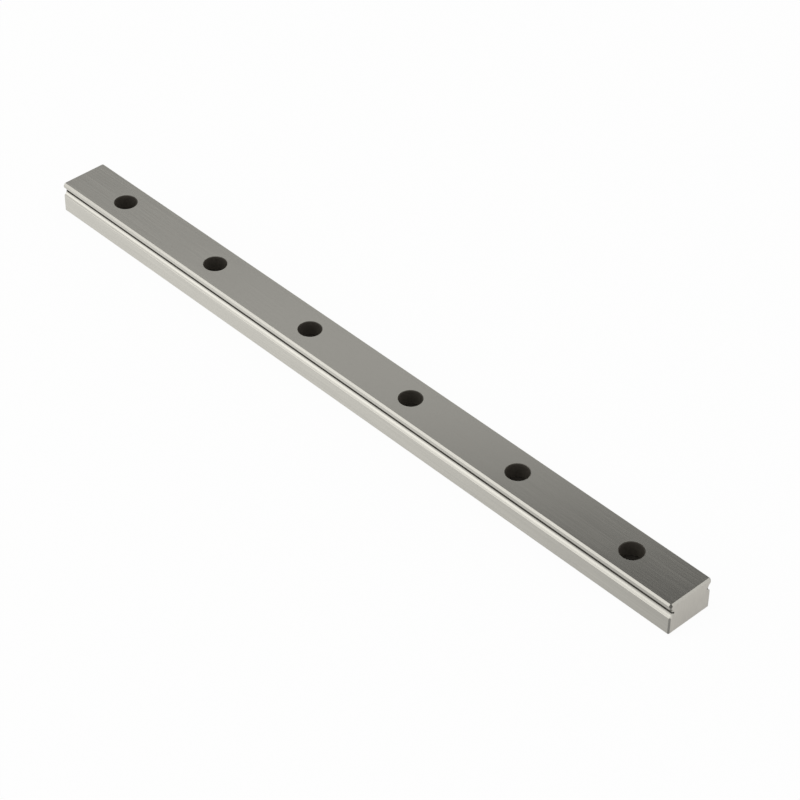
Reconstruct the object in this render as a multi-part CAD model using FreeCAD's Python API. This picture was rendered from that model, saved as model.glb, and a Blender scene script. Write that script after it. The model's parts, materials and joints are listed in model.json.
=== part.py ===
import FreeCAD, Part
import itertools
import math
import os

# Miniature linear guide rail: one ground steel bar that a carriage runs along.
# X runs along the rail, Z is up, and the origin is at the middle of the base. Sizes in millimetres.

# Bar
RAIL_WIDTH = 15.0
RAIL_HEIGHT = 10.0
TOP_CHAMFER = 0.5
BASE_CHAMFER = 0.5
END_CHAMFER = 0.5
END_CORNER_CHAMFER = 0.4
TOP_VERTEX_CUT = 1.2

# Row of counterbored screw holes on the centre line
HOLE_COUNT = 6
HOLE_PITCH = 40.0
END_DISTANCE = 20.0
SCREW_HOLE_DIAMETER = 3.5
COUNTERBORE_DIAMETER = 6.5
COUNTERBORE_DEPTH = 4.5
HOLE_EDGE_BREAK = 0.2

# Ball raceway along each side: two arcs that meet in a pointed root with a relief slot
BALL_DIAMETER = 3.175
RACEWAY_DROP = 2.9
RACEWAY_DEPTH = 0.9
RACEWAY_CONFORMITY = 0.52
CONTACT_ANGLE = 45.0
RELIEF_WIDTH = 0.5
RELIEF_DEPTH = 0.6
LIP_BREAK = 0.05
RACEWAY_END_BREAK = 0.3

# Values that follow from the sizes above
RAIL_LENGTH = (HOLE_COUNT - 1) * HOLE_PITCH + 2 * END_DISTANCE
HALF_LENGTH = RAIL_LENGTH / 2
HALF_WIDTH = RAIL_WIDTH / 2
RACEWAY_RADIUS = RACEWAY_CONFORMITY * BALL_DIAMETER
CENTRE_SHIFT = RACEWAY_RADIUS - BALL_DIAMETER / 2
SHIFT_UP = CENTRE_SHIFT * math.sin(math.radians(CONTACT_ANGLE))
ROOT_REACH = math.sqrt(RACEWAY_RADIUS**2 - SHIFT_UP**2)
RACEWAY_HEIGHT = RAIL_HEIGHT - RACEWAY_DROP
ROOT_OFFSET = HALF_WIDTH - RACEWAY_DEPTH
ARC_OFFSET = ROOT_OFFSET + ROOT_REACH
CUT_MARGIN = 1.0
PARALLEL_TOLERANCE = 1e-6


def section_point(offset, height, side):
    """Point of the rail's section at its -X end; side is +1 or -1 for the two flanks."""
    return FreeCAD.Vector(-HALF_LENGTH, side * offset, height)


def arc_rise(offset):
    """How far a raceway arc stands from its own centre's level at a given offset."""
    return math.sqrt(RACEWAY_RADIUS**2 - (ARC_OFFSET - offset) ** 2)


def arc_between(start, end, centre):
    """Arc of the raceway's radius from start to end about centre."""
    chord_way = (start - centre) + (end - centre)
    middle = centre + chord_way * (RACEWAY_RADIUS / chord_way.Length)
    return Part.Arc(start, middle, end).toShape()


def raceway_edges(side):
    """Section edges of one raceway, from the lower lip on the flank to the upper lip."""
    lower_centre = section_point(ARC_OFFSET, RACEWAY_HEIGHT + SHIFT_UP, side)
    upper_centre = section_point(ARC_OFFSET, RACEWAY_HEIGHT - SHIFT_UP, side)
    lip_rise = arc_rise(HALF_WIDTH) - SHIFT_UP + LIP_BREAK
    inner_rise = arc_rise(HALF_WIDTH - LIP_BREAK) - SHIFT_UP
    slot_rise = RELIEF_WIDTH / 2
    slot_offset = ARC_OFFSET - math.sqrt(RACEWAY_RADIUS**2 - (slot_rise + SHIFT_UP) ** 2)
    slot_floor = ROOT_OFFSET - RELIEF_DEPTH

    lower_lip = section_point(HALF_WIDTH, RACEWAY_HEIGHT - lip_rise, side)
    lower_inner = section_point(HALF_WIDTH - LIP_BREAK, RACEWAY_HEIGHT - inner_rise, side)
    slot_low = section_point(slot_offset, RACEWAY_HEIGHT - slot_rise, side)
    floor_low = section_point(slot_floor, RACEWAY_HEIGHT - slot_rise, side)
    floor_high = section_point(slot_floor, RACEWAY_HEIGHT + slot_rise, side)
    slot_high = section_point(slot_offset, RACEWAY_HEIGHT + slot_rise, side)
    upper_inner = section_point(HALF_WIDTH - LIP_BREAK, RACEWAY_HEIGHT + inner_rise, side)
    upper_lip = section_point(HALF_WIDTH, RACEWAY_HEIGHT + lip_rise, side)
    return [
        Part.makeLine(lower_lip, lower_inner),
        arc_between(lower_inner, slot_low, lower_centre),
        Part.makeLine(slot_low, floor_low),
        Part.makeLine(floor_low, floor_high),
        Part.makeLine(floor_high, slot_high),
        arc_between(slot_high, upper_inner, upper_centre),
        Part.makeLine(upper_inner, upper_lip),
    ]


def flank_edges(side):
    """Section edges of one flank, from the base face up to the top face."""
    raceway = raceway_edges(side)
    lower_lip = raceway[0].firstVertex().Point
    upper_lip = raceway[-1].lastVertex().Point
    base_corner = section_point(HALF_WIDTH - BASE_CHAMFER, 0, side)
    base_shoulder = section_point(HALF_WIDTH, BASE_CHAMFER, side)
    top_shoulder = section_point(HALF_WIDTH, RAIL_HEIGHT - TOP_CHAMFER, side)
    top_corner = section_point(HALF_WIDTH - TOP_CHAMFER, RAIL_HEIGHT, side)
    below = [Part.makeLine(base_corner, base_shoulder), Part.makeLine(base_shoulder, lower_lip)]
    above = [Part.makeLine(upper_lip, top_shoulder), Part.makeLine(top_shoulder, top_corner)]
    return below + raceway + above


def drawn_bar():
    """The rail's section, drawn out over its whole length."""
    right = flank_edges(1)
    left = flank_edges(-1)
    base = Part.makeLine(left[0].firstVertex().Point, right[0].firstVertex().Point)
    top = Part.makeLine(left[-1].lastVertex().Point, right[-1].lastVertex().Point)
    outline = Part.Wire(Part.__sortEdges__(right + [top] + left + [base]))
    return Part.Face(outline).extrude(FreeCAD.Vector(RAIL_LENGTH, 0, 0))


def chamfered_block(chamfer, edge_way):
    """Block of the rail's outer size whose end edges along edge_way have a chamfer."""
    corner = FreeCAD.Vector(-HALF_LENGTH, -HALF_WIDTH, 0)
    block = Part.makeBox(RAIL_LENGTH, RAIL_WIDTH, RAIL_HEIGHT, corner)
    edges = [edge for edge in block.Edges if edge.Curve.Direction.isParallel(edge_way, PARALLEL_TOLERANCE)]
    return block.makeChamfer(chamfer, edges)


def top_vertex_cutters():
    """Pyramids that cut off the top corners of both ends; each leg is the cut plus room outside the rail."""
    leg = TOP_VERTEX_CUT + 3 * CUT_MARGIN
    cutters = []
    for end in (-1, 1):
        for side in (-1, 1):
            apex = FreeCAD.Vector(
                end * (HALF_LENGTH + CUT_MARGIN),
                side * (HALF_WIDTH + CUT_MARGIN),
                RAIL_HEIGHT + CUT_MARGIN,
            )
            along = apex + FreeCAD.Vector(-end * leg, 0, 0)
            across = apex + FreeCAD.Vector(0, -side * leg, 0)
            down = apex + FreeCAD.Vector(0, 0, -leg)
            triangles = itertools.combinations((apex, along, across, down), 3)
            faces = [Part.Face(Part.makePolygon([*corners, corners[0]])) for corners in triangles]
            cutters.append(Part.Solid(Part.Shell(faces)))
    return cutters


def raceway_end_cutters():
    """Cones that break the edge where each raceway runs out of an end face."""
    narrow = RACEWAY_RADIUS - SHIFT_UP
    wide = RACEWAY_RADIUS + RACEWAY_END_BREAK
    reach = wide - narrow
    cutters = []
    for end in (-1, 1):
        for side in (-1, 1):
            tip = FreeCAD.Vector(end * (HALF_LENGTH - reach), side * ARC_OFFSET, RACEWAY_HEIGHT)
            outward = FreeCAD.Vector(end, 0, 0)
            cutters.append(Part.makeCone(narrow, wide, reach, tip, outward))
    return cutters


def screw_hole_cutter(centre_x):
    """Turned cutter of one counterbored screw hole, with both mouths' edges broken."""
    screw_radius = SCREW_HOLE_DIAMETER / 2
    head_radius = COUNTERBORE_DIAMETER / 2
    seat_height = RAIL_HEIGHT - COUNTERBORE_DEPTH
    outline = [
        (0, -CUT_MARGIN),
        (screw_radius + HOLE_EDGE_BREAK + CUT_MARGIN, -CUT_MARGIN),
        (screw_radius, HOLE_EDGE_BREAK),
        (screw_radius, seat_height),
        (head_radius, seat_height),
        (head_radius, RAIL_HEIGHT - HOLE_EDGE_BREAK),
        (head_radius + HOLE_EDGE_BREAK + CUT_MARGIN, RAIL_HEIGHT + CUT_MARGIN),
        (0, RAIL_HEIGHT + CUT_MARGIN),
    ]
    points = [FreeCAD.Vector(centre_x + radius, 0, height) for radius, height in outline]
    half_section = Part.Face(Part.makePolygon(points + points[:1]))
    return half_section.revolve(FreeCAD.Vector(centre_x, 0, 0), FreeCAD.Vector(0, 0, 1), 360)


def guide_rail():
    """The finished rail: drawn section, chamfered ends, cut corners, broken raceway ends and screw holes."""
    rail = drawn_bar()
    rail = rail.common(chamfered_block(END_CHAMFER, FreeCAD.Vector(0, 1, 0)))
    rail = rail.common(chamfered_block(END_CORNER_CHAMFER, FreeCAD.Vector(0, 0, 1)))
    first_hole = -HALF_LENGTH + END_DISTANCE
    holes = [screw_hole_cutter(first_hole + index * HOLE_PITCH) for index in range(HOLE_COUNT)]
    rail = rail.cut(top_vertex_cutters() + raceway_end_cutters() + holes)
    return rail.removeSplitter()


os.makedirs("parts", exist_ok=True)
rail = guide_rail()
solid = rail.Solids[0]
solid.exportStep("parts/guide_rail.step")
print("guide_rail: solids", len(rail.Solids), "valid", solid.isValid(), "volume", round(solid.Volume, 1))
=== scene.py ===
import json
import math

import bmesh
import bpy
from bpy.props import FloatProperty, FloatVectorProperty, PointerProperty
from mathutils import Matrix, Vector


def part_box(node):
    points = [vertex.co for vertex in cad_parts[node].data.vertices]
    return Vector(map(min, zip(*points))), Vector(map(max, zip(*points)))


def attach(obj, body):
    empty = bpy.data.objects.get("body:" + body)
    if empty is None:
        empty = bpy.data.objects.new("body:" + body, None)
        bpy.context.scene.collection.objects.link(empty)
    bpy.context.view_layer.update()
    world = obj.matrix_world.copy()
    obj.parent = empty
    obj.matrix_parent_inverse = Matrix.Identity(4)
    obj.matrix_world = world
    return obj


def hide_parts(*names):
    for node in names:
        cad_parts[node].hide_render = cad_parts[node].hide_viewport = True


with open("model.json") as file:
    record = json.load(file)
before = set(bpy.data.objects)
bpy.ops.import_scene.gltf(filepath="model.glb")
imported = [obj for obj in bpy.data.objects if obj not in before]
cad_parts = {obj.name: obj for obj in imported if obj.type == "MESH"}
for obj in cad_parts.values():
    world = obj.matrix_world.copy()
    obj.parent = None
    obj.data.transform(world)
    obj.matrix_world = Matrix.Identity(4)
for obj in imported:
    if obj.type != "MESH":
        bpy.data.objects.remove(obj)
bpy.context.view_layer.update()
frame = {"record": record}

bl_info = {
    "name": "Linear guide rail",
    "version": (1, 0, 0),
    "blender": (4, 5, 0),
    "location": "View3D > Sidebar > Guide Rail",
    "description": "Ground steel guide rail with a ball raceway along each flank",
    "category": "Mesh",
}

MM = 0.001

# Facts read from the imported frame
RAIL_LOW, RAIL_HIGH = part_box("guide_rail")
RAIL_SIZE = RAIL_HIGH - RAIL_LOW
MOUNTS = {mount["name"]: mount for mount in frame["record"]["mounts"]}
HEAD_NAMES = sorted(name for name in MOUNTS if name.startswith("counterbore_"))
HOLE_PLACES = [MOUNTS[name]["pos_m"][0] for name in HEAD_NAMES]
HEAD_RADIUS = MOUNTS["counterbore_1"]["dims"]["r_mm"] * MM
SCREW_RADIUS = MOUNTS["screw_hole_1"]["dims"]["r_mm"] * MM
SCREW_LENGTH = MOUNTS["screw_hole_1"]["dims"]["length_mm"] * MM
RACEWAY_HEIGHT = MOUNTS["rear_raceway"]["pos_m"][2]

# Planes of the base, the top and both ends: the axis that each is square to, and its place
FLATS = [(2, RAIL_LOW.z), (2, RAIL_HIGH.z), (0, RAIL_LOW.x), (0, RAIL_HIGH.x)]

# Balls that the raceways are ground for, an arc's radius over their diameter, and their angle of contact
BALL_DIAMETER = 3.175 * MM
CONFORMITY = 0.52
CONTACT_ANGLE = math.radians(45)
RACEWAY_RADIUS = CONFORMITY * BALL_DIAMETER
ARC_SHIFT = (RACEWAY_RADIUS - BALL_DIAMETER / 2) * math.sin(CONTACT_ANGLE)

# How finely round shapes are drawn, and how near two points count as one
ARC_STEPS = 14
HOLE_STEPS = 96
MERGE_DISTANCE = 1e-7

# Bend past which an edge stays sharp, and how much large faces count in the shading of their edges
SHARP_ANGLE = math.radians(30)
FLAT_WEIGHT = 100

# Finishes of the rail's faces, in the order of its material slots
TOP, FLANK, RACEWAY, END, CORNER, HOLE, SLOT = range(7)

# Shares of a face's normal along an axis: nearly all of it, and enough for the face to lean that way
SQUARE = 0.99
LEANING = 0.1

# How far out from the raceway's root a face still belongs to the relief slot
SLOT_MARGIN = 0.05 * MM

# Map for baking: its name, the bend past which faces are laid apart, and the gap as a share of the map
MAP_NAME = "OFBake"
MAP_BEND = math.radians(30)
MAP_GAP = 0.001

# Marks in the steel: how many in a metre along X, Y and Z, and the broad ones' share of that number
LENGTHWISE_MARKS = Vector((40.0, 5000.0, 5000.0))
UPRIGHT_MARKS = Vector((5000.0, 5000.0, 250.0))
BROAD_SHARE = 0.15
MARK_DETAIL = 2.0

# Bump that the fine marks make
MARK_STRENGTH = 0.35
MARK_DEPTH = 0.003 * MM

# Clouds in the steel: how many in a metre
CLOUD_SCALE = 90.0
CLOUD_DETAIL = 4.0

# Share of the steel's colour and change of its roughness: plain, by fine marks, broad marks and clouds
STEEL_TONES = (0.78, 0.3, 0.08, 0.06)
STEEL_ROUGHNESS = (-0.07, 0.1, 0.02, 0.02)

# Spots in the dark scale: how many in a metre
SPOT_SCALE = 1500.0
SPOT_DETAIL = 4.0

# Share of the scale's colour and its roughness, plain and by spots, and its gloss
SCALE_TONES = (0.7, 0.6)
SCALE_ROUGHNESS = (0.5, 0.2)
SCALE_GLOSS = 0.12

# Shares of the scale's colour at a hole's seat and mouth, darkened there as painted shade, and from where to
# where above the seat that painted shade fades out
SEAT_SHADE_TONE = 0.3
MOUTH_SHADE_TONE = 0.45
SHADE_FADE_START = 0.02 * MM
SHADE_FADE_END = 0.06 * MM

# Shares of the scale's colour where it is the same at every height
EVEN_TONES = [(0.0, 1.0), (1.0, 1.0)]

# Studio walls: brightness by the sine of the height above the horizon
PLAIN_WALL = [(0.0, 1.0), (0.3, 1.0), (0.55, 0.72), (1.0, 1.0)]
DIM_WALL = [(0.0, 1.0), (0.35, 0.9), (0.5, 0.5), (0.56, 0.34), (0.6, 0.5), (0.63, 0.74), (0.655, 0.78),
            (0.675, 0.2), (0.695, 0.03), (0.8, 0.06), (1.0, 1.0)]

# Dim corner: the way to it, and the cosines of the turn away from it where it starts and is full
CORNER_WAY = Vector((-1.0, 1.0, 0.0)).normalized()
CORNER_START = 0.3
CORNER_FULL = 0.6

# Dim stand above the camera: its place in the same terms, and its tone
STAND_WAY = Vector((1.0, -1.0, 1.1)).normalized()
STAND_START = math.cos(math.radians(28))
STAND_FULL = math.cos(math.radians(14))
STAND_TONE = (0.14, 0.14, 0.14, 1.0)

# Softboxes: the place of each, from which it faces the origin, and its width and height
KEY_PLACE = Vector((-0.62, -0.823, 0.4))
KEY_SIZE = (0.6, 0.8)
OVERHEAD_PLACE = Vector((-0.25, -0.45, 1.05))
OVERHEAD_SIZE = (1.2, 0.9)

# Floor: its size, its drop below the rail, and half sizes of the place under the rail that is only matt
FLOOR_SIZE = 4.0
FLOOR_DROP = 0.02 * MM
UNDER_LENGTH = HOLE_PLACES[-1] + RAIL_HIGH.y
UNDER_WIDTH = RAIL_HIGH.y / 2

# Where along X painted shade starts to make the floor look dimmer in the steel, and the share of that shade
# left past the end
DIMMING_START = 0.75 * RAIL_LOW.x
PAST_END = RAIL_HIGH.x + RAIL_SIZE.y
PAST_END_SHARE = 0.5

# Nearest and farthest that the camera sees
CLIP_START = 0.01
CLIP_END = 20.0

# Numbers of the sockets of a Mix node that mixes colours: three of its inputs, and its result
MIX_SHARE = 0
MIX_FIRST = 6
MIX_SECOND = 7
MIX_RESULT = 2


def length_property(name, description, default, least=0.0):
    """A length in metres that a user may change."""
    return FloatProperty(name=name, description=description, default=default, min=least, precision=5,
                         subtype="DISTANCE", unit="LENGTH")


def angle_property(name, description, degrees):
    """An angle that a user may change."""
    return FloatProperty(name=name, description=description, default=math.radians(degrees),
                         subtype="ANGLE", unit="ROTATION")


def colour_property(name, description, default):
    """A linear colour that a user may change."""
    return FloatVectorProperty(name=name, description=description, default=default, min=0.0, max=1.0,
                               size=3, subtype="COLOR")


def share_property(name, description, default):
    """A number from 0 to 1."""
    return FloatProperty(name=name, description=description, default=default, min=0.0, max=1.0,
                         subtype="FACTOR")


def light_property(name, description, default):
    """A lamp's brightness, where 1 is plain white."""
    return FloatProperty(name=name, description=description, default=default, min=0.0)


class GuideRailSizes(bpy.types.PropertyGroup):
    """Sizes of the rail's section, ends and holes."""

    top_chamfer: length_property("Top chamfer", "Chamfer along both top edges", 0.5 * MM)
    base_chamfer: length_property("Base chamfer", "Chamfer along both base edges", 0.5 * MM)
    end_chamfer: length_property("End chamfer", "Chamfer along the level edges of both ends", 0.5 * MM)
    corner_chamfer: length_property("Corner chamfer", "Chamfer along the ends' upright edges", 0.4 * MM)
    vertex_cut: length_property("Vertex cut", "How far the ends' top corners are cut off", 1.2 * MM)
    raceway_radius: length_property("Raceway radius", "Radius of each raceway arc", RACEWAY_RADIUS)
    raceway_depth: length_property("Raceway depth", "Depth of the raceway below the flank", 0.9 * MM)
    arc_shift: length_property("Arc shift", "How far each arc's centre lies past the ball's", ARC_SHIFT)
    relief_width: length_property("Relief width", "Width of the slot at the raceway's root", 0.5 * MM)
    relief_depth: length_property("Relief depth", "Depth of the slot below the root", 0.6 * MM)
    lip_break: length_property("Lip break", "Broken edge along each raceway lip", 0.05 * MM)
    end_break: length_property("End break", "Broken edge where a raceway leaves an end face", 0.3 * MM)
    mouth_break: length_property("Mouth break", "Broken edge round each hole's mouths", 0.2 * MM)


class GuideRailFinish(bpy.types.PropertyGroup):
    """Colours and roughness of the rail's surfaces."""

    steel: colour_property("Ground steel", "Colour of the ground faces", (0.56, 0.545, 0.495))
    cut_steel: colour_property("Cut steel", "Colour of the cut end faces", (0.625, 0.6, 0.545))
    # The upright chamfers' dark colour is painted shade: it stands in for the dark reflection these chamfers
    # show
    corner_steel_painted_dark: colour_property("Corner steel", "Colour of the upright chamfers", (0.29, 0.283, 0.26))
    # Inside the holes this colour is further darkened by painted shade at the seat, the narrow bore and the
    # mouth
    hole_scale: colour_property("Hole scale", "Colour inside the screw holes", (0.126, 0.112, 0.092))
    slot_scale: colour_property("Slot scale", "Colour inside the relief slots", (0.145, 0.137, 0.122))
    top_roughness: share_property("Top roughness", "Roughness of the top face", 0.17)
    flank_roughness: share_property("Flank roughness", "Roughness of the flanks", 0.34)
    raceway_roughness: share_property("Raceway roughness", "Roughness of the ball raceways", 0.24)
    end_roughness: share_property("End roughness", "Roughness of the end faces", 0.4)


class GuideRailStudio(bpy.types.PropertyGroup):
    """Camera, floor and light."""

    azimuth: angle_property("Azimuth", "Camera's turn round the rail", 46.166)
    elevation: angle_property("Elevation", "Camera's height above the horizon", 40.056)
    roll: angle_property("Roll", "Camera's turn about its own axis", 0.832)
    distance: length_property("Distance", "From the aim point to the camera", 729.03 * MM)
    aim_right: length_property("Aim right", "Aim point's place right of the origin", 11.017 * MM, least=-1.0)
    aim_up: length_property("Aim up", "Aim point's place above the origin", -2.262 * MM, least=-1.0)
    lens: FloatProperty(name="Lens", description="Focal length in millimetres", default=120.74, min=1.0,
                        subtype="DISTANCE_CAMERA", unit="CAMERA")
    floor_colour: colour_property("Floor", "Colour of the floor", (0.92, 0.92, 0.91))
    floor_glow: share_property("Floor glow", "How much of the seen floor is plain white", 0.95)
    # Painted shade: how much the floor by the +X end is dimmed where the steel reflects it
    near_floor: share_property("Near floor", "How bright the floor by the +X end looks in the steel", 0.63)
    key_radiance: light_property("Key light", "Brightness of the soft light in front", 0.68)
    top_radiance: light_property("Top light", "Brightness of the soft light overhead", 0.4)


def set_stops(elements, stops):
    """Gives a colour ramp its stops, each a place and a grey."""
    elements[0].position = stops[0][0]
    elements[-1].position = stops[-1][0]
    for place, _ in stops[1:-1]:
        elements.new(place)
    for element, (_, grey) in zip(elements, stops):
        element.color = (grey, grey, grey, 1.0)


class Shade:
    """One value of a shader: a socket that takes part in sums written in Python."""

    def __init__(self, tree, socket=None):
        self.tree = tree
        self.socket = socket

    def node(self, kind, settings=None, sockets=None, output=0):
        """Adds a node, sets it up, fills or links its sockets and returns one of its outputs."""
        made = self.tree.nodes.new(kind)
        for name, value in (settings or {}).items():
            if name == "stops":
                set_stops(made.color_ramp.elements, value)
            else:
                setattr(made, name, value)
        for name, value in (sockets or {}).items():
            self.fill(made.inputs[name], value)
        return Shade(self.tree, made.outputs[output] if made.outputs else None)

    def fill(self, socket, value):
        """Links a shader value to a socket, or sets a plain one."""
        if isinstance(value, Shade):
            self.tree.links.new(value.socket, socket)
        else:
            socket.default_value = value

    def maths(self, operation, first, second=0.0):
        """Adds a Math node."""
        return self.node("ShaderNodeMath", {"operation": operation}, {0: first, 1: second})

    def __add__(self, other):
        return self.maths("ADD", self, other)

    def __radd__(self, other):
        return self.maths("ADD", other, self)

    def __sub__(self, other):
        return self.maths("SUBTRACT", self, other)

    def __rsub__(self, other):
        return self.maths("SUBTRACT", other, self)

    def __mul__(self, other):
        return self.maths("MULTIPLY", self, other)

    def __rmul__(self, other):
        return self.maths("MULTIPLY", other, self)

    def largest(self, other):
        """The larger of two values."""
        return self.maths("MAXIMUM", self, other)

    def within(self, reach):
        """1 where the value lies between -reach and reach, and 0 elsewhere."""
        return self.maths("LESS_THAN", self.maths("ABSOLUTE", self), reach)

    def eased(self, start, end, first=0.0, last=1.0):
        """Eases from first to last while the value goes from start to end."""
        return self.node("ShaderNodeMapRange", {"interpolation_type": "SMOOTHSTEP"}, {
            "Value": self, "From Min": start, "From Max": end, "To Min": first, "To Max": last,
        })

    def grey(self, stops):
        """The grey that a colour ramp gives for the value."""
        return self.node("ShaderNodeValToRGB", {"stops": stops}, {"Fac": self})

    def part(self, axis):
        """One coordinate of a vector."""
        return self.node("ShaderNodeSeparateXYZ", sockets={"Vector": self}, output=axis)

    def along(self, way):
        """How far a vector goes in a given direction."""
        return self.node("ShaderNodeVectorMath", {"operation": "DOT_PRODUCT"}, {0: self, 1: way},
                         output="Value")

    def stretched(self, scale):
        """A place whose coordinates are scaled one by one."""
        return self.node("ShaderNodeMapping", sockets={"Vector": self, "Scale": scale})

    def noise(self, scale, detail):
        """Soft noise at a place, with about so many spots in a unit of length."""
        return self.node("ShaderNodeTexNoise", sockets={"Vector": self, "Scale": scale, "Detail": detail})

    def mixed(self, blend, share, first, second):
        """Mixes two colours."""
        return self.node("ShaderNodeMix", {"data_type": "RGBA", "blend_type": blend},
                         {MIX_SHARE: share, MIX_FIRST: first, MIX_SECOND: second}, output=MIX_RESULT)


def start_shader(owner):
    """Empties the nodes of a material or world, and returns a Shade that adds new ones."""
    owner.use_nodes = True
    owner.node_tree.nodes.clear()
    return Shade(owner.node_tree)


def weighted(shares, *values):
    """A plain share, plus each value times its own share."""
    total, *others = shares
    for share, value in zip(others, values):
        total = total + share * value
    return total


def section_point(offset, height):
    """Point of the section's +Y half at the rail's -X end."""
    return Vector((RAIL_LOW.x, offset, height))


def line_to(bm, vert, target):
    """Draws a straight edge from vert to target and returns its end."""
    end = bmesh.ops.extrude_vert_indiv(bm, verts=[vert])["verts"][0]
    bmesh.ops.translate(bm, verts=[end], vec=target - end.co)
    return end


def arc_to(bm, vert, centre, target):
    """Draws an arc about centre from vert to target and returns its end."""
    start = vert.co - centre
    angle = start.angle(target - centre) * (1 if start.cross(target - centre).x > 0 else -1)
    made = bmesh.ops.spin(bm, geom=[vert], cent=centre, axis=(1, 0, 0), angle=angle, steps=ARC_STEPS)
    return next(item for item in made["geom_last"] if isinstance(item, bmesh.types.BMVert))


def raceway_axis(sizes):
    """The middle line of the +Y raceway's two arcs, as a point of the section."""
    root_reach = math.sqrt(sizes.raceway_radius**2 - sizes.arc_shift**2)
    return section_point(RAIL_HIGH.y - sizes.raceway_depth + root_reach, RACEWAY_HEIGHT)


def draw_flank(bm, sizes):
    """Draws the section of the +Y flank from base to top as a wire."""
    side = RAIL_HIGH.y
    root = side - sizes.raceway_depth
    _, arc_offset, height = raceway_axis(sizes)

    def rise(offset):
        """How far the raceway's arcs stand from its middle at an offset."""
        return math.sqrt(sizes.raceway_radius**2 - (arc_offset - offset) ** 2) - sizes.arc_shift

    lip_rise = rise(side) + sizes.lip_break
    inner_rise = rise(side - sizes.lip_break)
    slot_rise = sizes.relief_width / 2
    slot_offset = arc_offset - math.sqrt(sizes.raceway_radius**2 - (slot_rise + sizes.arc_shift) ** 2)
    slot_floor = root - sizes.relief_depth
    lower_centre = section_point(arc_offset, height + sizes.arc_shift)
    upper_centre = section_point(arc_offset, height - sizes.arc_shift)

    vert = bm.verts.new(section_point(side - sizes.base_chamfer, RAIL_LOW.z))
    vert = line_to(bm, vert, section_point(side, RAIL_LOW.z + sizes.base_chamfer))
    vert = line_to(bm, vert, section_point(side, height - lip_rise))
    vert = line_to(bm, vert, section_point(side - sizes.lip_break, height - inner_rise))
    vert = arc_to(bm, vert, lower_centre, section_point(slot_offset, height - slot_rise))
    vert = line_to(bm, vert, section_point(slot_floor, height - slot_rise))
    vert = line_to(bm, vert, section_point(slot_floor, height + slot_rise))
    vert = line_to(bm, vert, section_point(slot_offset, height + slot_rise))
    vert = arc_to(bm, vert, upper_centre, section_point(side - sizes.lip_break, height + inner_rise))
    vert = line_to(bm, vert, section_point(side, height + lip_rise))
    vert = line_to(bm, vert, section_point(side, RAIL_HIGH.z - sizes.top_chamfer))
    line_to(bm, vert, section_point(side - sizes.top_chamfer, RAIL_HIGH.z))


def meets(first, second):
    """Whether two coordinates are the same."""
    return abs(first - second) < MERGE_DISTANCE


def flare_raceway_end(bm, sizes, end):
    """Widens the +Y raceway where it runs out of one end face, so that its edge there is broken."""
    axis = raceway_axis(sizes)
    reach = sizes.raceway_radius + 2 * sizes.lip_break
    verts = [vert for vert in bm.verts if meets(vert.co.x, end) and (vert.co - axis).yz.length < reach]
    widen = 1 + sizes.end_break / sizes.raceway_radius
    bmesh.ops.scale(bm, verts=verts, vec=(1, widen, widen), space=Matrix.Translation(-axis))


def sweep_flanks(bm, sizes):
    """Draws the flank's wire out over the rail's length and mirrors it to the other side."""
    draw_flank(bm, sizes)
    ring = bm.edges[:]
    for step in (sizes.end_break, RAIL_SIZE.x - 2 * sizes.end_break, sizes.end_break):
        made = bmesh.ops.extrude_edge_only(bm, edges=ring)["geom"]
        moved = [item for item in made if isinstance(item, bmesh.types.BMVert)]
        bmesh.ops.translate(bm, verts=moved, vec=(step, 0, 0))
        ring = [item for item in made if isinstance(item, bmesh.types.BMEdge)]
    for end in (RAIL_LOW.x, RAIL_HIGH.x):
        flare_raceway_end(bm, sizes, end)
    bmesh.ops.mirror(bm, geom=bm.verts[:] + bm.edges[:] + bm.faces[:], axis="Y", merge_dist=0.0)


def seat_height(sizes):
    """Height of the seats that the screw heads rest on."""
    return SCREW_LENGTH + sizes.mouth_break


def bore_hole(bm, place, sizes):
    """Turns the wall of one counterbored screw hole about its axis."""
    seat = seat_height(sizes)
    profile = [
        (HEAD_RADIUS + sizes.mouth_break, RAIL_HIGH.z),
        (HEAD_RADIUS, RAIL_HIGH.z - sizes.mouth_break),
        (HEAD_RADIUS, seat),
        (SCREW_RADIUS, seat),
        (SCREW_RADIUS, RAIL_LOW.z + sizes.mouth_break),
        (SCREW_RADIUS + sizes.mouth_break, RAIL_LOW.z),
    ]
    mouth, *others = [Vector((place + radius, 0, height)) for radius, height in profile]
    wire = [bm.verts.new(mouth)]
    for point in others:
        wire.append(line_to(bm, wire[-1], point))
    edges = dict.fromkeys(edge for vert in wire for edge in vert.link_edges)
    bmesh.ops.spin(bm, geom=[*wire, *edges], cent=(place, 0, 0), axis=(0, 0, 1),
                   angle=math.tau, steps=HOLE_STEPS, use_merge=True)


def lies_flat(item, axis, place):
    """Whether an edge or face lies in the plane where one coordinate has a given value."""
    return all(meets(vert.co[axis], place) for vert in item.verts)


def fill_flats(bm):
    """Fills the outlines of the base, the top and both ends, round the holes' mouths."""
    for axis, place in FLATS:
        outline = [edge for edge in bm.edges if len(edge.link_faces) < 2 and lies_flat(edge, axis, place)]
        bmesh.ops.triangle_fill(bm, edges=outline, use_beauty=True)


def close_bar(bm):
    """Joins both flanks across the ends of the top and the base, and fills the flat faces."""
    for height in (RAIL_LOW.z, RAIL_HIGH.z):
        for end in (RAIL_LOW.x, RAIL_HIGH.x):
            corners = [vert for vert in bm.verts if meets(vert.co.z, height) and meets(vert.co.x, end)]
            bmesh.ops.contextual_create(bm, geom=corners)
    fill_flats(bm)


def refill_flats(bm):
    """Fills the flat faces anew, without the points that the cuts have left along their outlines."""
    old = [face for face in bm.faces if any(lies_flat(face, axis, place) for axis, place in FLATS)]
    bmesh.ops.delete(bm, geom=old, context="FACES")
    bmesh.ops.dissolve_verts(bm, verts=[vert for vert in bm.verts if len(vert.link_edges) == 2])
    fill_flats(bm)


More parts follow.
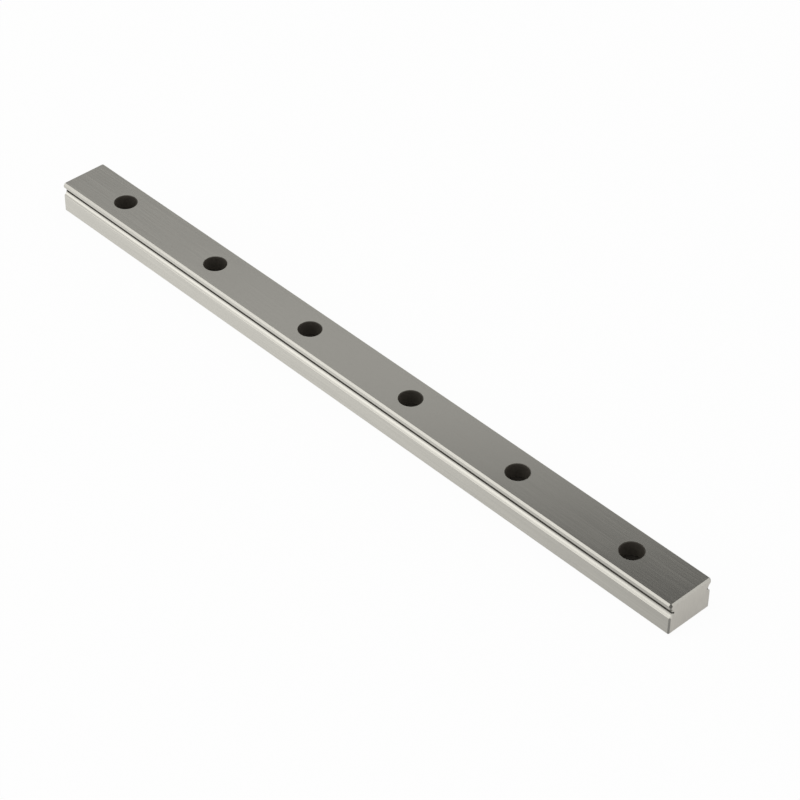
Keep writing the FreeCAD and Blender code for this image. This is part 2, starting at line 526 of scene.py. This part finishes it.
def cut_away(bm, point, outward):
    """Cuts off what lies past a plane and closes the cut."""
    bmesh.ops.bisect_plane(bm, geom=bm.verts[:] + bm.edges[:] + bm.faces[:], dist=MERGE_DISTANCE,
                           plane_co=point, plane_no=outward, clear_outer=True)
    bmesh.ops.holes_fill(bm, edges=[edge for edge in bm.edges if edge.is_boundary], sides=0)


def chamfer_ends(bm, sizes):
    """Cuts a chamfer along each straight edge of both end faces, and cuts off their top corners."""
    for end_corner, way in ((RAIL_LOW, -1), (RAIL_HIGH, 1)):
        for side_corner, side in ((RAIL_LOW, -1), (RAIL_HIGH, 1)):
            level = Vector((end_corner.x - way * sizes.end_chamfer, 0, side_corner.z))
            cut_away(bm, level, Vector((way, 0, side)))
            upright = Vector((end_corner.x - way * sizes.corner_chamfer, side_corner.y, 0))
            cut_away(bm, upright, Vector((way, side, 0)))
            vertex = Vector((end_corner.x, side_corner.y, RAIL_HIGH.z - sizes.vertex_cut))
            cut_away(bm, vertex, Vector((way, side, 1)))


def finish_of(face, sizes):
    """Which finish a face of the rail has, from where it lies and which way it looks."""
    centre = face.calc_center_median()
    lengthwise, sideways, upward = (abs(share) for share in face.normal)
    from_middle = abs(centre.y)
    hole = min(HOLE_PLACES, key=lambda place: abs(place - centre.x))
    from_hole = math.hypot(centre.x - hole, centre.y)
    inside = RAIL_LOW.z + MERGE_DISTANCE < centre.z < RAIL_HIGH.z - MERGE_DISTANCE
    if inside and from_hole < HEAD_RADIUS + sizes.mouth_break:
        return HOLE
    if lengthwise > SQUARE:
        return END
    if lengthwise > LEANING:
        if upward < LEANING:
            return CORNER
        return TOP if sideways > LEANING else FLANK
    if inside and from_middle < RAIL_HIGH.y - sizes.raceway_depth + SLOT_MARGIN:
        return SLOT
    if inside and from_middle < RAIL_HIGH.y - MERGE_DISTANCE:
        at_base = centre.z < RAIL_LOW.z + sizes.base_chamfer
        at_top = centre.z > RAIL_HIGH.z - sizes.top_chamfer
        return FLANK if at_base or at_top else RACEWAY
    return FLANK if inside else TOP


def in_fixed_order(bm):
    """The same mesh with its points and faces in order of place, so that each run gives it alike."""
    verts = sorted(bm.verts, key=lambda vert: vert.co[:])
    rank = {vert: number for number, vert in enumerate(verts)}
    rings = []
    for face in bm.faces:
        ring = [rank[vert] for vert in face.verts]
        first = ring.index(min(ring))
        rings.append(ring[first:] + ring[:first])
    ordered = bmesh.new()
    points = [ordered.verts.new(vert.co) for vert in verts]
    for ring in sorted(rings):
        ordered.faces.new([points[number] for number in ring])
    bm.free()
    return ordered


def rail_mesh(sizes):
    """The whole rail as one closed mesh with a finish on each face."""
    bm = bmesh.new()
    sweep_flanks(bm, sizes)
    for place in HOLE_PLACES:
        bore_hole(bm, place, sizes)
    close_bar(bm)
    bmesh.ops.remove_doubles(bm, verts=bm.verts[:], dist=MERGE_DISTANCE)
    chamfer_ends(bm, sizes)
    refill_flats(bm)
    bmesh.ops.recalc_face_normals(bm, faces=bm.faces[:])
    bm = in_fixed_order(bm)
    loose = [edge for edge in bm.edges if not edge.is_manifold]
    if loose:
        raise RuntimeError("the rail's mesh has %d open edges" % len(loose))
    for face in bm.faces:
        face.normal_update()
        face.material_index = finish_of(face, sizes)
        face.smooth = True
    mesh = bpy.data.meshes.new("rail_body")
    bm.to_mesh(mesh)
    bm.free()
    mesh.set_sharp_from_angle(angle=SHARP_ANGLE)
    return mesh


def steel_material(name, colour, roughness, marks):
    """Steel with fine marks; marks is how many there are in a metre along X, Y and Z."""
    material = bpy.data.materials.new(name)
    start = start_shader(material)
    place = start.node("ShaderNodeTexCoord", output="Object")
    fine = place.stretched(marks).noise(1.0, MARK_DETAIL)
    broad = place.stretched(marks * BROAD_SHARE).noise(1.0, MARK_DETAIL)
    cloud = place.noise(CLOUD_SCALE, CLOUD_DETAIL)
    tone = weighted(STEEL_TONES, fine, broad, cloud)
    bump = start.node("ShaderNodeBump", sockets={
        "Height": fine, "Strength": MARK_STRENGTH, "Distance": MARK_DEPTH,
    })
    shader = start.node("ShaderNodeBsdfPrincipled", sockets={
        "Base Color": start.mixed("MULTIPLY", 1.0, (*colour, 1.0), tone),
        "Metallic": 1.0,
        "Roughness": roughness + weighted(STEEL_ROUGHNESS, fine, broad, cloud),
        "Normal": bump,
    })
    start.node("ShaderNodeOutputMaterial", sockets={"Surface": shader})
    return material


def hole_shade_tones(sizes):
    """Shares of the scale's colour up a hole: painted shade darkens the seat, the narrow bore below it and
    the mouth, and the wall between keeps the full colour.
    """
    seat_shade_until = (seat_height(sizes) + SHADE_FADE_START) / RAIL_SIZE.z
    unshaded_from = (seat_height(sizes) + SHADE_FADE_END) / RAIL_SIZE.z
    return [(0.0, SEAT_SHADE_TONE), (seat_shade_until, SEAT_SHADE_TONE), (unshaded_from, 1.0), (1.0, MOUTH_SHADE_TONE)]


def scale_material(name, colour, tones):
    """Dark scale that hardening leaves where no wheel reaches; tones are its shares of colour by height,
    which in the holes are painted shade.
    """
    material = bpy.data.materials.new(name)
    start = start_shader(material)
    place = start.node("ShaderNodeTexCoord", output="Object")
    spots = place.noise(SPOT_SCALE, SPOT_DETAIL)
    height = place.part("Z") * (1 / RAIL_SIZE.z)
    tone = height.grey(tones) * weighted(SCALE_TONES, spots)
    shader = start.node("ShaderNodeBsdfPrincipled", sockets={
        "Base Color": start.mixed("MULTIPLY", 1.0, (*colour, 1.0), tone),
        "Roughness": weighted(SCALE_ROUGHNESS, spots),
        "Specular IOR Level": SCALE_GLOSS,
    })
    start.node("ShaderNodeOutputMaterial", sockets={"Surface": shader})
    return material


def lay_out_map(context, rail):
    """Lays the rail's faces out on a UV map for baking, with each flat stretch apart from the next."""
    rail.data.uv_layers.new(name=MAP_NAME)
    bpy.ops.object.select_all(action="DESELECT")
    rail.select_set(True)
    context.view_layer.objects.active = rail
    bpy.ops.object.mode_set(mode="EDIT")
    bpy.ops.mesh.select_all(action="SELECT")
    bpy.ops.uv.smart_project(angle_limit=MAP_BEND, margin_method="FRACTION", island_margin=MAP_GAP,
                             scale_to_bounds=True)
    bpy.ops.object.mode_set(mode="OBJECT")


class MESH_OT_guide_rail_body(bpy.types.Operator):
    """Build the rail with its raceways, holes and finishes"""

    bl_idname = "mesh.guide_rail_body"
    bl_label = "Rail body"

    def execute(self, context):
        sizes = context.scene.guide_rail_sizes
        finish = context.scene.guide_rail_finish
        mesh = rail_mesh(sizes)
        for material in (
            steel_material("ground_top", finish.steel, finish.top_roughness, LENGTHWISE_MARKS),
            steel_material("ground_flank", finish.steel, finish.flank_roughness, LENGTHWISE_MARKS),
            steel_material("ground_raceway", finish.steel, finish.raceway_roughness, LENGTHWISE_MARKS),
            steel_material("cut_end", finish.cut_steel, finish.end_roughness, UPRIGHT_MARKS),
            # Upright chamfers: steel with upright marks, darkened as painted shade
            steel_material("hand_ground_corner", finish.corner_steel_painted_dark, finish.end_roughness, UPRIGHT_MARKS),
            # Holes: dark scale, with painted shade at the seat, the narrow bore and the mouth
            scale_material("hole_scale", finish.hole_scale, hole_shade_tones(sizes)),
            scale_material("slot_scale", finish.slot_scale, EVEN_TONES),
        ):
            mesh.materials.append(material)
        rail = bpy.data.objects.new("rail_body", mesh)
        context.scene.collection.objects.link(rail)
        lay_out_map(context, rail)
        flat = rail.modifiers.new("flat_faces", "WEIGHTED_NORMAL")
        flat.weight = FLAT_WEIGHT
        flat.keep_sharp = True
        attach(rail, "root")
        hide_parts("guide_rail")
        return {"FINISHED"}


def make_camera(scene, studio):
    """The camera at the photograph's place."""
    azimuth, elevation, roll = studio.azimuth, studio.elevation, studio.roll
    level = math.cos(elevation)
    back = Vector((math.sin(azimuth) * level, -math.cos(azimuth) * level, math.sin(elevation)))
    flat_right = Vector((math.cos(azimuth), math.sin(azimuth), 0))
    flat_up = back.cross(flat_right)
    right = flat_right * math.cos(roll) + flat_up * math.sin(roll)
    up = back.cross(right)
    turn = Matrix((right, up, back)).transposed().to_4x4()
    aim = right * studio.aim_right + up * studio.aim_up
    data = bpy.data.cameras.new("photo_camera")
    data.lens = studio.lens
    data.clip_start = CLIP_START
    data.clip_end = CLIP_END
    camera = bpy.data.objects.new("photo_camera", data)
    camera.matrix_world = Matrix.Translation(aim + back * studio.distance) @ turn
    scene.collection.objects.link(camera)
    scene.camera = camera


def floor_material(studio):
    """Pale matt floor that is seen as plain white, with painted shade that makes it a little dimmer in the
    steel towards the +X end.
    """
    material = bpy.data.materials.new("pale_floor")
    start = start_shader(material)
    camera_ray = start.node("ShaderNodeLightPath", output="Is Camera Ray")
    glossy_ray = start.node("ShaderNodeLightPath", output="Is Glossy Ray")
    clear_ray = start.node("ShaderNodeLightPath", output="Is Transmission Ray")
    seen = camera_ray.largest(glossy_ray).largest(clear_ray)
    place = start.node("ShaderNodeTexCoord", output="Object")
    along = place.part("X")
    under_rail = along.within(UNDER_LENGTH) * place.part("Y").within(UNDER_WIDTH)
    nearness = start.node("ShaderNodeMapRange", sockets={
        "Value": along, "From Min": DIMMING_START, "From Max": RAIL_HIGH.x,
    })
    past_end = along.eased(RAIL_HIGH.x, PAST_END, 1.0, PAST_END_SHARE)
    # Painted shade on the floor, seen only in the steel's reflections
    painted_shade = nearness * nearness * (1.0 - studio.near_floor) * past_end
    matt = start.node("ShaderNodeBsdfDiffuse", sockets={"Color": (*studio.floor_colour, 1.0)})
    white = start.node("ShaderNodeEmission", sockets={"Color": 1.0 - glossy_ray * painted_shade})
    glow = studio.floor_glow * seen * (1.0 - under_rail)
    both = start.node("ShaderNodeMixShader", sockets={0: glow, 1: matt, 2: white})
    start.node("ShaderNodeOutputMaterial", sockets={"Surface": both})
    material.cycles.emission_sampling = "NONE"
    return material


def make_floor(scene, studio):
    """A pale floor that keeps the rail's shadow."""
    bm = bmesh.new()
    bmesh.ops.create_grid(bm, x_segments=1, y_segments=1, size=FLOOR_SIZE,
                          matrix=Matrix.Translation((0, 0, -FLOOR_DROP)))
    mesh = bpy.data.meshes.new("floor")
    bm.to_mesh(mesh)
    bm.free()
    mesh.materials.append(floor_material(studio))
    floor = bpy.data.objects.new("floor", mesh)
    scene.collection.objects.link(floor)


def make_world(scene):
    """A plain bright studio with a dim corner behind the rail and a dim stand above the camera."""
    world = bpy.data.worlds.new("studio")
    scene.world = world
    start = start_shader(world)
    way = start.node("ShaderNodeTexCoord", output="Generated")
    height = way.part("Z")
    in_corner = way.along(CORNER_WAY).eased(CORNER_START, CORNER_FULL)
    on_stand = way.along(STAND_WAY).eased(STAND_START, STAND_FULL)
    walls = start.mixed("MIX", in_corner, height.grey(PLAIN_WALL), height.grey(DIM_WALL))
    room = start.mixed("MIX", on_stand, walls, STAND_TONE)
    light = start.node("ShaderNodeBackground", sockets={"Color": room})
    start.node("ShaderNodeOutputWorld", sockets={"Surface": light})


def make_softbox(scene, name, place, size, radiance):
    """A soft light that faces the rail."""
    width, height = size
    data = bpy.data.lights.new(name, "AREA")
    data.shape = "RECTANGLE"
    data.size = width
    data.size_y = height
    data.energy = radiance * math.pi * width * height
    lamp = bpy.data.objects.new(name, data)
    lamp.matrix_world = Matrix.Translation(place) @ place.to_track_quat("Z", "Y").to_matrix().to_4x4()
    lamp.visible_camera = False
    scene.collection.objects.link(lamp)


class SCENE_OT_guide_rail_studio(bpy.types.Operator):
    """Build the floor, the light and the camera"""

    bl_idname = "scene.guide_rail_studio"
    bl_label = "Studio"

    def execute(self, context):
        scene = context.scene
        studio = scene.guide_rail_studio
        make_floor(scene, studio)
        make_world(scene)
        make_softbox(scene, "key_softbox", KEY_PLACE, KEY_SIZE, studio.key_radiance)
        make_softbox(scene, "top_softbox", OVERHEAD_PLACE, OVERHEAD_SIZE, studio.top_radiance)
        make_camera(scene, studio)
        scene.view_settings.view_transform = "Standard"
        return {"FINISHED"}


class VIEW3D_PT_guide_rail(bpy.types.Panel):
    """Sizes, finishes and steps of the guide rail"""

    bl_label = "Guide rail"
    bl_space_type = "VIEW_3D"
    bl_region_type = "UI"
    bl_category = "Guide Rail"

    def draw(self, context):
        scene = context.scene
        for group in (scene.guide_rail_sizes, scene.guide_rail_finish, scene.guide_rail_studio):
            column = self.layout.column()
            for name in group.__annotations__:
                column.prop(group, name)
        self.layout.operator("mesh.guide_rail_body")
        self.layout.operator("scene.guide_rail_studio")


CLASSES = (
    GuideRailSizes,
    GuideRailFinish,
    GuideRailStudio,
    MESH_OT_guide_rail_body,
    SCENE_OT_guide_rail_studio,
    VIEW3D_PT_guide_rail,
)


def register():
    """Adds the classes and their settings to Blender."""
    for item in CLASSES:
        bpy.utils.register_class(item)
    bpy.types.Scene.guide_rail_sizes = PointerProperty(type=GuideRailSizes)
    bpy.types.Scene.guide_rail_finish = PointerProperty(type=GuideRailFinish)
    bpy.types.Scene.guide_rail_studio = PointerProperty(type=GuideRailStudio)


def unregister():
    """Takes the settings and classes out of Blender."""
    del bpy.types.Scene.guide_rail_studio
    del bpy.types.Scene.guide_rail_finish
    del bpy.types.Scene.guide_rail_sizes
    for item in reversed(CLASSES):
        bpy.utils.unregister_class(item)


def main():
    """Builds everything in order."""
    register()
    bpy.ops.mesh.guide_rail_body()
    bpy.ops.scene.guide_rail_studio()


if __name__ == "__main__":
    main()
